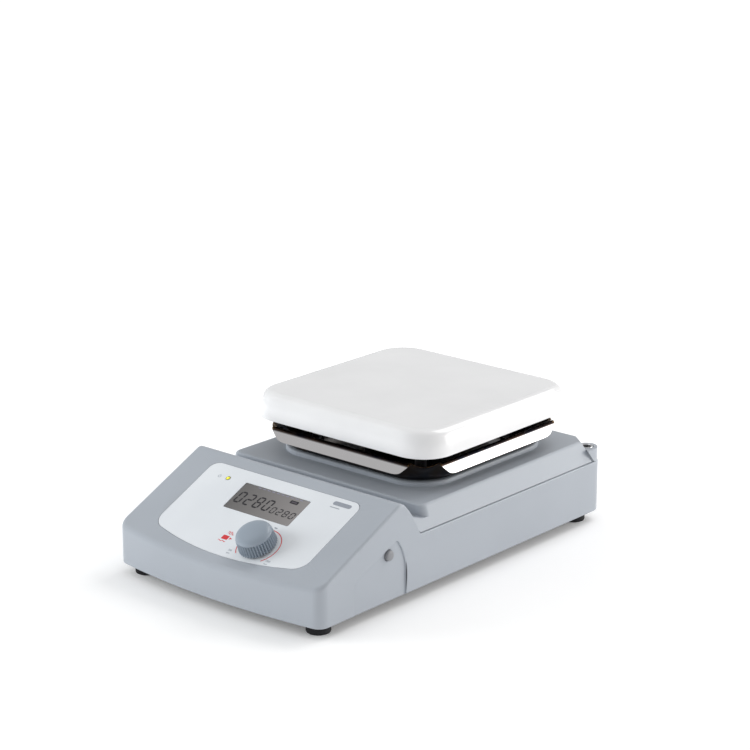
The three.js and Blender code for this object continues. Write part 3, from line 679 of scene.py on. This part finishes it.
def lower_housing():
    body = housing_shell("housing", 0, 0, RIM_Z, SEAM_Z, ridge_profile())
    weighted_bevel(body, 3.2, rim_weight)
    inner_ridge = [
        (y - 0.8 - 1.8 * min(1, max(0, (y - RIDGE_Y) / 8)), z - WALL - 0.3)
        for y, z in ridge_profile()
    ]
    hollow = housing_shell("hollow", WALL, WALL / math.cos(TILT), -5, SEAM_Z - 2, inner_ridge)
    boolean(body, hollow)
    for side in (1, -1):
        x0, x1 = sorted((side * (HALF_W - 1.0), side * (HALF_W + 6)))
        boolean(body, prism_x("recess", recess_outline(), x0, x1))
    weighted_bevel(body, 0.8, recess_weight, 4)
    opening = rounded_rect(-HALF_W + WALL, -47, HALF_W - WALL, REAR_Y - 9, 6)
    boolean(body, prism("opening", opening, SEAM_Z - 6, SEAM_Z + 5))
    for side in (1, -1):
        boolean(body, rod_boss(side), "UNION")
        boolean(body, boss_core(side, BUSH_HOLE_R, 38, 60))
    boolean(body, move(prism("pocket", overlay_outline(0.3), -0.8, 6), PANEL))
    for tool in panel_openings(0.5, -6, 3):
        boolean(body, move(tool, PANEL))
    boolean(body, move(cylinder(BUTTON_R + 0.4, 80, 96), BUTTON_PLACE))
    flange = centred_rect(INLET_X, INLET_Z, 50.6, 30.6, 3.3)
    boolean(body, prism_y("flange", flange, REAR_Y - 2.6, REAR_Y + 5))
    socket = centred_rect(INLET_X, INLET_Z, 30.6, 28.6, 2.3)
    boolean(body, prism_y("socket", socket, REAR_Y - 10, REAR_Y + 5))
    vents, first_x, pitch = 9, -62, 7
    for i in range(vents):
        slot = centred_rect(first_x + pitch * i, 25.5, 2.5, 19, 1.2, 6)
        boolean(body, prism_y("vent", slot, REAR_Y - 10, REAR_Y + 5))
    bevel(body, 0.3, 2, angle=50)
    return piece(body, "housing_moulding", GREY, "base", ["lower_housing"])


# ---- top cover with its lip and the plinth under the tray ----
LIP_Y, GROOVE_Z = -40.4, 52.0
COVER_FOOT = SEAM_Z + 0.5  # lower edge of the cover, above a shadow gap


def cover_skirt_side():
    """(y, z) outline of the lower layer: up the front of the groove, down its floor and in under the deck."""
    crest = (-53.2, 55.6)
    return (
        [(-47.2, COVER_FOOT)]
        + bezier((-47.2, COVER_FOOT), (-50.6, 50.2), crest, 8)
        + [crest, (LIP_Y - 1.5, GROOVE_Z), (LIP_Y + 7, GROOVE_Z)]
        + [(LIP_Y + 7, COVER_Z - 3.5), (REAR_Y, COVER_Z - 3.5), (REAR_Y, COVER_FOOT)]
    )


def cover_level(z, front, front_r, inset=0.0):
    """The cover's outline at height z: its walls lean in towards the top."""
    share = (z - COVER_FOOT) / (COVER_Z - COVER_FOOT)
    half = 89.1 - 5.1 * share - inset
    rear = 144.2 - 3.8 * share - inset
    rear_r = 8 - inset
    outline = (
        arc(half - rear_r, rear - rear_r, rear_r, 0, QUARTER, 12)
        + arc(-half + rear_r, rear - rear_r, rear_r, QUARTER, 2 * QUARTER, 12)
        + arc(-half + front_r, front + front_r, front_r, 2 * QUARTER, 3 * QUARTER, 12)
        + arc(half - front_r, front + front_r, front_r, 3 * QUARTER, 4 * QUARTER, 12)
    )
    return [(x, y, z) for x, y in outline]


def cover_block(name, inset=0.0):
    return loft(name, [cover_level(z, -60, 3, inset) for z in (SEAM_Z - 1, COVER_Z - inset)])


def cover_deck():
    """The raised deck behind the groove, with a rounded upper edge."""
    low, edge, r = GROOVE_Z - 2.5, 1.7, 5.0
    rings = [cover_level(low, LIP_Y, r), cover_level(COVER_Z - edge, LIP_Y, r)]
    for i in range(1, 9):
        turn = QUARTER * i / 8
        inwards = edge * (1 - math.cos(turn))
        z = COVER_Z - edge + edge * math.sin(turn)
        ring = cover_level(z, LIP_Y, r)
        rings.append([
            (x - math.copysign(inwards, x), y - math.copysign(inwards, y), z) for x, y, z in ring
        ])
    return loft("deck", rings)


def corner_cut(side, inset=0.0):
    """The space outside the cover's slanting rear corner."""
    out = Vector((0.62, 0.785))  # way out of the corner, seen from above
    top_reach, lean, length = 154.9, 0.664, 60
    along = Vector((out.y, -out.x)) * length
    rings = []
    for z in (40, 70):
        edge = out * (top_reach + lean * (COVER_Z - z) - inset)
        rings.append([(side * p.x, p.y, z) for p in (edge - along, edge + along, edge + out * length)])
    return loft("corner", rings)


def plate_rings(levels, steps=10):
    """levels: (half, corner radius, z)."""
    return [[(x, y, z) for x, y in plate_square(half, r, steps)] for half, r, z in levels]


def top_cover():
    cover = cover_block("cover")
    boolean(cover, prism_x("side", cover_skirt_side(), -HALF_W, HALF_W), "INTERSECT")
    bevel(cover, 0.5, 3, angle=70)
    boolean(cover, cover_deck(), "UNION")
    ceiling = COVER_Z - WALL
    inside = [(-44.4, 40), (-44.4, 49), (-36, 49), (-36, ceiling), (REAR_Y, ceiling), (REAR_Y, 40)]
    hollow = cover_block("hollow", WALL)
    boolean(hollow, prism_x("inside", inside, -HALF_W, HALF_W), "INTERSECT")
    for side in (1, -1):
        boolean(hollow, corner_cut(side, WALL))
        boolean(cover, corner_cut(side))
    boolean(cover, hollow)
    rounding = [
        (69.6, 26.6, 59.0), (69.5, 26.5, 60.0), (69.4, 26.4, 61.2), (69.2, 26.2, 61.9), (68.8, 25.9, 62.3),
        (68.2, 25.4, 62.55), (67.5, 25, 62.6),
    ]
    boolean(cover, loft("plinth", plate_rings(rounding, 16)), "UNION")
    boolean(cover, cylinder(13, 40, 70, (0, PLATE_Y)))
    for side in (1, -1):
        boolean(cover, boss_core(side, BOSS_R + 0.5, 40, BOSS_TOP + 0.9))
        boolean(cover, boss_core(side, BUSH_HOLE_R, 50, 70))
    bevel(cover, 0.3, 2, angle=50)
    return piece(cover, "cover_moulding", GREY, "base", ["top_cover"])


# ---- work plate and the heat-shield tray ----
def work_plate():
    shell = [
        (80.2, 22.5, 84.0), (80.7, 22.8, 84.25), (81, 23, 84.9), (81, 23, 88), (80.9, 22.9, 90.4),
        (80.6, 22.8, 93), (80.1, 22.5, 95.4), (79.4, 22.1, 97.5), (78.5, 21.6, 99.2), (77.4, 20.9, 100.4),
        (76, 20.1, 101.3), (74.3, 19.2, 101.85), (72, 18, 102.1),
    ]
    plate = loft("plate", plate_rings(shell, 16))
    under = [(77, 19, 80), (77, 19, 95), (76.5, 18.6, 95.8), (75.6, 18, 96)]
    boolean(plate, loft("hollow", plate_rings(under)))
    return piece(plate, "ceramic_plate", CERAMIC, "base", ["work_plate"])


def tray_flap(turn):
    """One turned-down flap: rolled over at the top, sloping outwards, with slanted rounded ends."""
    roll_r, roll_out, roll_z, sheet = 3.6, 73.0, 74.9, 0.8
    start, end = math.radians(72), math.radians(17)
    outer = arc(roll_out, roll_z, roll_r, start, end, 10) + [(78.3, 69.9)]
    inner = arc(roll_out, roll_z, roll_r - sheet, start, end, 10) + [(78.3 - sheet, 69.9 - 0.25)]
    profile = [(-out, z) for out, z in outer + inner[::-1]]
    flap = prism_x("flap", profile, -63, 63)
    half = (
        [(61.5, 80), (61.5, 77.7)]
        + bezier((61.5, 77.7), (60.8, 76.9), (59.2, 75.4), 5)
        + [(59.2, 75.4), (55.8, 72.3)]
        + bezier((55.8, 72.3), (53.5, 69.95), (47.0, 69.9), 8)
        + [(47.0, 69.9)]
    )
    outline = half + [(-x, z) for x, z in half[::-1]]
    boolean(flap, prism_y("outline", outline, -82, -70), "INTERSECT")
    bevel(flap, 0.15, 2, angle=50)
    return move(flap, Matrix.Translation((0, PLATE_Y, 0)) @ Matrix.Rotation(turn, 4, "Z"))


def corner_dip(x, y, z):
    """Lowers the tray's rim between the flaps, most in the middle of each corner."""
    foot, flap_end, middle, keep = 70.0, 60.5, 68.2, 0.72
    along = min(abs(x), abs(y - PLATE_Y))
    share = min(1.0, max(0.0, (along - flap_end) / (middle - flap_end)))
    if z < foot:
        return (x, y, z)
    return (x, y, foot + (z - foot) * (1 - (1 - keep) * math.sin(share * QUARTER) ** 0.8))


def heat_shield_tray():
    outside = [
        (66.2, 25.6, 62.9), (67.0, 26.2, 63.05), (67.7, 26.6, 63.5), (68.2, 26.7, 64.2), (69.4, 26.0, 66.5),
        (71.2, 25.0, 70), (72.7, 23.8, 73), (73.8, 22.8, 75.6), (74.3, 22.4, 77), (74.6, 22.2, 78.1),
    ]
    inside = [
        (74.2, 22.0, 78.3), (73.8, 21.8, 77.9), (73.0, 22.0, 75.6), (71.9, 23.0, 73), (70.3, 24.2, 70),
        (68.4, 25.2, 66.5), (67.3, 25.9, 64.6), (66.6, 25.4, 64.0), (65.6, 25.0, 63.8),
    ]
    rings = [[corner_dip(*p) for p in ring] for ring in plate_rings(outside + inside, 20)]
    hole = []
    for x, y, _ in rings[0]:
        reach = math.hypot(x, y - PLATE_Y)
        hole.append((13.6 * x / reach, PLATE_Y + 13.6 * (y - PLATE_Y) / reach))
    under = [(x, y, 62.9) for x, y in hole]
    over = [(x, y, 63.8) for x, y in hole]
    tray = loft("tray", [under] + rings + [over, under], caps=False)
    collar = lathe("collar", [(14.4, 63.4), (15.6, 63.4), (15.6, 65), (14.4, 65)], (0, PLATE_Y), closed=True)
    boolean(tray, collar, "UNION")
    for quarter in range(4):
        boolean(tray, tray_flap(quarter * QUARTER), "UNION")
    replaced = ["heat_shield_tray"]
    return piece(tray, "polished_tray", STAINLESS, "base", replaced, smooth=40)


# ---- control face ----
def control_face():
    film = prism("film", overlay_outline(), -0.5, 0)
    for tool in panel_openings(0.3, -2, 2):
        boolean(film, tool)
    bevel(film, 0.12, 2, angle=50)
    piece(film, "printed_film", FILM, "base", ["panel_overlay"], on_panel=True)
    window = prism("window", centred_rect(DISPLAY_X, -DISPLAY_S, DISPLAY_W, DISPLAY_H, 0.8), -2.4, -0.15)
    bevel(window, 0.15, 2)
    piece(window, "display_pane", DISPLAY, "base", ["display_window"], on_panel=True)
    profile = [(0, -9.5), (1.5, -9.5), (1.5, -0.3), (1.42, 0.05), (1.15, 0.35), (0.7, 0.53), (0, 0.6)]
    lamp = lathe("lamp", profile, (LED_X, -LED_S), 32)
    piece(lamp, "lamp", LAMP, "base", ["status_light"], on_panel=True)
    profile = [(1.54, -0.5), (1.78, -0.5), (1.78, 0.12), (1.7, 0.2), (1.54, 0.2)]
    bezel = lathe("bezel", profile, (LED_X, -LED_S), 32, closed=True)
    piece(bezel, "lamp_bezel", BLACK, "base", on_panel=True)


SEGMENTS = {"0": "abcdef", "2": "abdeg", "8": "abcdefg"}
LEAN = math.tan(math.radians(7))


def segment_outline(start, end, half, gap):
    """A bar with pointed ends from start to end, upright or level."""
    (x0, y0), (x1, y1) = start, end
    length = max(x1 - x0, y1 - y0)
    a, b = gap, length - gap
    bar = [(a, 0), (a + half, half), (b - half, half), (b, 0), (b - half, -half), (a + half, -half)]
    if x0 == x1:
        return [(x0 + v, y0 + u) for u, v in bar]
    return [(x0 + u, y0 - v) for u, v in bar]


def digit_outlines(text, x, y, width, height, pitch, stroke):
    """Slanted seven-segment digits as (x, y) polygons, with their lower left corner at (x, y)."""
    half, gap = stroke / 2, stroke * 0.16
    w, h = width - stroke, height - stroke
    corners = {
        "a": ((0, h), (w, h)),
        "b": ((w, h / 2), (w, h)),
        "c": ((w, 0), (w, h / 2)),
        "d": ((0, 0), (w, 0)),
        "e": ((0, 0), (0, h / 2)),
        "f": ((0, h / 2), (0, h)),
        "g": ((0, h / 2), (w, h / 2)),
    }
    shapes = []
    for place, character in enumerate(text):
        left = x + place * pitch + half
        for key in SEGMENTS[character]:
            bar = segment_outline(*corners[key], half, gap)
            shapes.append([(left + u + (v + half) * LEAN, y + half + v) for u, v in bar])
    return shapes


def flat_print(name, outlines, material, low, high):
    """Thin raised print: each outline becomes a flat solid, all in one piece on the control face."""
    solids = [prism("ink", outline, low, high) for outline in outlines]
    return piece(merge(name, *solids), name, material, "base", on_panel=True)


def stroke_outline(points, width):
    """The outline of a line of constant width through the points."""
    left, right = [], []
    for i, (x, y) in enumerate(points):
        ax, ay = points[max(i - 1, 0)]
        bx, by = points[min(i + 1, len(points) - 1)]
        length = math.hypot(bx - ax, by - ay)
        nx, ny = -(by - ay) / length * width / 2, (bx - ax) / length * width / 2
        left.append((x + nx, y + ny))
        right.append((x - nx, y - ny))
    return right + left[::-1]


def number_marks(text, x, y, size):
    """A small number in Blender's own typeface, as a flat mesh in the control face's frame."""
    curve = bpy.data.curves.new("number", "FONT")
    curve.body = text
    curve.size = size
    curve.extrude = 0.02
    obj = bpy.data.objects.new("number", curve)
    bpy.context.scene.collection.objects.link(obj)
    bpy.context.view_layer.update()
    shown = obj.evaluated_get(bpy.context.evaluated_depsgraph_get())
    mesh = bpy.data.meshes.new_from_object(shown)
    bpy.data.objects.remove(obj)
    mark = bpy.data.objects.new("number", mesh)
    bpy.context.scene.collection.objects.link(mark)
    return move(mark, Matrix.Translation((x, y, 0.03)))


def wave(x, y, width, height):
    """Two periods of a sine wave."""
    return [(x + width * i / 24, y + height * math.sin(8 * QUARTER * i / 24)) for i in range(25)]


def prints():
    left = DISPLAY_X - DISPLAY_W / 2
    top = -DISPLAY_S + DISPLAY_H / 2
    big = digit_outlines("0280", left + 2.2, top - 18.1, 5.7, 10.6, 8.2, 1.2)
    small = digit_outlines("0280", left + 34.6, top - 18.3, 3.8, 5.9, 5.5, 0.75)
    flat_print("display_digits", big + small, SEGMENT_INK, -0.16, -0.1)
    badge = centred_rect(left + 46.3, top - 4.3, 6.8, 2.8, 0.5, 4)
    flat_print("display_badge", [badge], SEGMENT_INK, -0.16, -0.11)
    inner = centred_rect(left + 46.3, top - 4.3, 4.6, 1.3, 0.3, 4)
    flat_print("display_badge_centre", [inner], BADGE_INK, -0.13, -0.09)
    bars = [centred_rect(left + 13 + 4.1 * i, top - 1.0, 2.6, 0.7, 0.2, 3) for i in range(10)]
    flat_print("display_bars", bars, FAINT_INK, -0.16, -0.12)

    ring = arc(KNOB_X, -KNOB_S, 15.2, math.radians(225), math.radians(-45), 60)
    flat_print("dial_arc", [stroke_outline(ring, 0.6)], RED_INK, 0.0, 0.05)
    pot = rounded_rect(-8.2, -68.8, -3.0, -65.2, 0.5, 4)
    base = stroke_outline(wave(-9.4, -70.4, 6.6, 0.35), 0.45)
    steam = stroke_outline(wave(-6.6, -63.2, 5.0, 0.45), 0.45)
    steam_low = stroke_outline(wave(-6.9, -61.8, 4.0, 0.4), 0.4)
    pointer = [(-2.0, -67.9), (0.1, -66.9), (-2.0, -65.9)]
    flat_print("stirring_symbol", [pot, base, steam, steam_low, pointer], RED_INK, 0.0, 0.05)

    tick = centred_rect(KNOB_X, -KNOB_S + 17.7, 2.5, 0.9, 0.3, 3)
    bar = centred_rect(52, -14.3, 15.0, 3.4, 1.65, 8)
    bar_tail = centred_rect(48.5, -18.2, 8.0, 0.6, 0.25, 3)
    power = stroke_outline(arc(-52.0, -20.4, 1.1, math.radians(120), math.radians(420), 20), 0.3)
    power_bar = centred_rect(-52.0, -19.4, 0.3, 1.5, 0.1, 2)
    flat_print("panel_marks", [tick, bar, bar_tail, power, power_bar], GREY_INK, 0.0, 0.05)
    numbers = merge(
        "numbers",
        number_marks("200", KNOB_X - 18.1, -KNOB_S - 10.6, 2.1),
        number_marks("rpm", KNOB_X - 17.7, -KNOB_S - 13.0, 1.7),
        number_marks("1500", KNOB_X + 13.6, -KNOB_S - 9.8, 2.1),
        number_marks("rpm", KNOB_X + 14.2, -KNOB_S - 12.2, 1.7),
    )
    piece(numbers, "dial_numbers", GREY_INK, "base", on_panel=True)


def control_knob():
    ribs, samples, depth = 40, 8, 1.4

    def ribbed(r):
        points = []
        for i in range(ribs * samples):
            angle = 4 * QUARTER * i / (ribs * samples)
            dip = (0.5 - 0.5 * math.cos(ribs * angle)) ** 1.4
            reach = r - depth * dip
            points.append((KNOB_X + reach * math.cos(angle), -KNOB_S + reach * math.sin(angle)))
        return points

    levels = [(12.7, 1.1), (13.0, 1.5), (12.95, 2.2), (12.3, 9.8), (12.0, 10.6), (11.3, 11.3)]
    body = loft("knob", [[(x, y, n) for x, y in ribbed(r)] for r, n in levels])
    dome = [
        (0, 9), (11.3, 9), (11.8, 9.4), (12.05, 9.9), (12.05, 10.3), (11.9, 10.9), (11.5, 11.6), (10.8, 12.3),
        (9.8, 12.95), (8.5, 13.45), (6.8, 13.85), (4.6, 14.15), (2.3, 14.32), (0, 14.4),
    ]
    boolean(body, lathe("dome", dome, (KNOB_X, -KNOB_S), 96), "UNION")
    hollow = [(5.4, 0), (10.6, 0), (10.2, 10), (5.4, 10)]
    boolean(body, lathe("hollow", hollow, (KNOB_X, -KNOB_S), closed=True))
    hub = [(0, 0), (5.6, 0), (5.6, 3.3), (3.3, 3.3), (3.3, 11.8), (0, 11.8)]
    boolean(body, lathe("hub", hub, (KNOB_X, -KNOB_S)))
    replaced = ["control_knob"]
    return piece(body, "ribbed_knob", KNOB_GREY, "knob", replaced, on_panel=True, smooth=50)


# ---- small parts outside the housing ----
def power_button():
    r = BUTTON_R
    profile = [
        (0, 77), (1.8, 77), (1.8, 84), (5.6, 84), (5.6, 86.9), (r, 86.9), (r, 90.3), (r - 0.1, 90.7),
        (r - 0.4, 91.05), (r - 0.9, 91.3), (r - 1.6, 91.44), (1.0, 91.5), (0, 91.5),
    ]
    button = lathe("button", profile, steps=64)
    move(button, BUTTON_PLACE)
    return piece(button, "power_push_button", BUTTON_GREY, "power_button", ["power_button"])


def feet():
    seat = [(2.4, 3.2), (4.6, 3.2), (4.6, 0)]
    profile = seat + [(7.1, 0), (7.65, 0.2), (7.93, 0.65), (8, 1.2), (8, 7.2), (2.4, 7.2)]
    for row, y in (("front", FOOT_FRONT_Y), ("rear", FOOT_REAR_Y)):
        for hand, x in (("left", -FOOT_X), ("right", FOOT_X)):
            foot = lathe("foot", profile, (x, y), closed=True)
            piece(foot, f"rubber_foot_{row}_{hand}", RUBBER, "base", [f"foot_{row}_{hand}"])


def rod_sockets():
    bush_profile = [(3.4, 36), (5, 36), (5, 53.5), (4.75, 53.9), (3.9, 53.9), (3.4, 53.4)]
    plug_profile = [(0, 38), (3.1, 38), (3.1, 52.5), (2.7, 52.9), (0, 52.9)]
    for hand, side in (("left", -1), ("right", 1)):
        centre = (side * BOSS_X, BOSS_Y)
        bush = lathe("bush", bush_profile, centre, closed=True)
        piece(bush, f"bush_{hand}", CHROME, "base", [f"rod_socket_{hand}"])
        plug = lathe("plug", plug_profile, centre)
        hexagon = [(centre[0] + x, centre[1] + y) for x, y in arc(0, 0, 1.7, 0, 4 * QUARTER, 6)[:-1]]
        boolean(plug, prism("key", hexagon, 50.5, 55))
        piece(plug, f"plug_{hand}", BLACK, "base", [f"rod_socket_plug_{hand}"])


def mains_inlet():
    inlet = prism_y("flange", centred_rect(INLET_X, INLET_Z, 50, 30, 3), REAR_Y - 2.3, REAR_Y)
    bevel(inlet, 0.6, 3)
    body = centred_rect(INLET_X, INLET_Z, 30, 28, 2)
    boolean(inlet, prism_y("body", body, REAR_Y - 30, REAR_Y - 2), "UNION")
    socket = centred_rect(INLET_X, SOCKET_Z, 24.4, 16.4, 3)
    boolean(inlet, prism_y("socket", socket, REAR_Y - 18, REAR_Y + 1))
    chute = centred_rect(INLET_X, DRAWER_Z, 24.6, 6.6, 0.6)
    boolean(inlet, prism_y("chute", chute, REAR_Y - 26, REAR_Y + 1))
    bevel(inlet, 0.25, 2, angle=50)
    piece(inlet, "inlet_moulding", INLET_BLACK, "base", ["mains_inlet"])
    drawer = prism_y("drawer", centred_rect(INLET_X, DRAWER_Z, 24, 6, 0.4), REAR_Y - 25, REAR_Y)
    bevel(drawer, 0.25, 2)
    grip = centred_rect(INLET_X, DRAWER_Z + 2.6, 10, 1.6, 0.5)
    boolean(drawer, prism_y("grip", grip, REAR_Y - 1.2, REAR_Y + 1))
    piece(drawer, "fuse_holder", INLET_BLACK, "fuse_drawer", ["fuse_drawer"])


# ---- floor, light and camera ----
def floor():
    n = Nodes("pale_floor")
    n.link(n.ramp(n.noise(400, 2), srgb(250, 250, 251), srgb(255, 255, 255)), "Base Color")
    distance = n.add("ShaderNodeVectorMath", {0: n.place()}, operation="LENGTH").outputs["Value"]
    near_glow, far_glow = (0.12, 0.12, 0.12, 1), (0.5, 0.5, 0.5, 1)
    n.link(n.ramp(n.step(distance, 0.4, 2.5), near_glow, far_glow, 0.0, 1.0), "Emission Color")
    n.set(Roughness=0.9, Emission_Strength=1.0)
    bm = bmesh.new()
    bmesh.ops.create_grid(bm, x_segments=1, y_segments=1, size=8.0)
    mesh = bpy.data.meshes.new("floor")
    bm.to_mesh(mesh)
    bm.free()
    obj = bpy.data.objects.new("floor", mesh)
    obj.data.materials.append(n.material)
    bpy.context.scene.collection.objects.link(obj)


def softbox(name, azimuth, elevation, distance, size, power, tint=(1, 1, 1), mirrored=True):
    """A lamp panel facing the object; azimuth is from the front, towards the right."""
    a, e = math.radians(azimuth), math.radians(elevation)
    data = bpy.data.lights.new(name, "AREA")
    data.shape = "RECTANGLE"
    data.size, data.size_y = size
    data.energy = power
    data.color = tint
    obj = bpy.data.objects.new(name, data)
    place = Vector((math.sin(a) * math.cos(e), -math.cos(a) * math.cos(e), math.sin(e))) * distance
    obj.location = place + Vector((0, 0, 0.05))
    obj.rotation_euler = (obj.location - Vector((0, 0, 0.06))).to_track_quat("Z", "Y").to_euler()
    obj.visible_glossy = mirrored
    bpy.context.scene.collection.objects.link(obj)


def world():
    scene_world = bpy.data.worlds.new("studio")
    scene_world.use_nodes = True
    background = scene_world.node_tree.nodes["Background"]
    background.inputs["Color"].default_value = (1, 1, 1, 1)
    background.inputs["Strength"].default_value = 0.54
    bpy.context.scene.world = scene_world


def camera():
    azimuth, elevation = math.radians(40.95), math.radians(16.7)
    data = bpy.data.cameras.new("camera")
    data.sensor_width = 36.0
    data.lens = 109.62
    data.shift_x, data.shift_y = -0.0053, 0.0039
    data.clip_end = 50
    obj = bpy.data.objects.new("camera", data)
    back = Vector((
        math.sin(azimuth) * math.cos(elevation),
        -math.cos(azimuth) * math.cos(elevation),
        math.sin(elevation),
    ))
    obj.rotation_euler = back.to_track_quat("Z", "Y").to_euler()
    obj.location = (0.9635 + MIDDLE_X, -1.0955, 0.5568)
    bpy.context.scene.collection.objects.link(obj)
    bpy.context.scene.camera = obj


lower_housing()
top_cover()
work_plate()
heat_shield_tray()
control_face()
prints()
control_knob()
power_button()
feet()
rod_sockets()
mains_inlet()

floor()
world()
camera()
COOL, WARM = (0.95, 0.985, 1.0), (1.0, 0.985, 0.955)
softbox("left_panel", -52, 15, 1.6, (1.2, 0.8), 14.2, tint=COOL, mirrored=False)
softbox("right_rear_panel", 139, 13, 1.25, (0.94, 0.63), 6.4, tint=WARM)
softbox("left_fill", -60, 50, 1.7, (1.0, 1.0), 1.4)
softbox("rear_panel", 170, 50, 1.7, (1.0, 1.0), 10.0)
bpy.context.scene.view_settings.view_transform = "Standard"
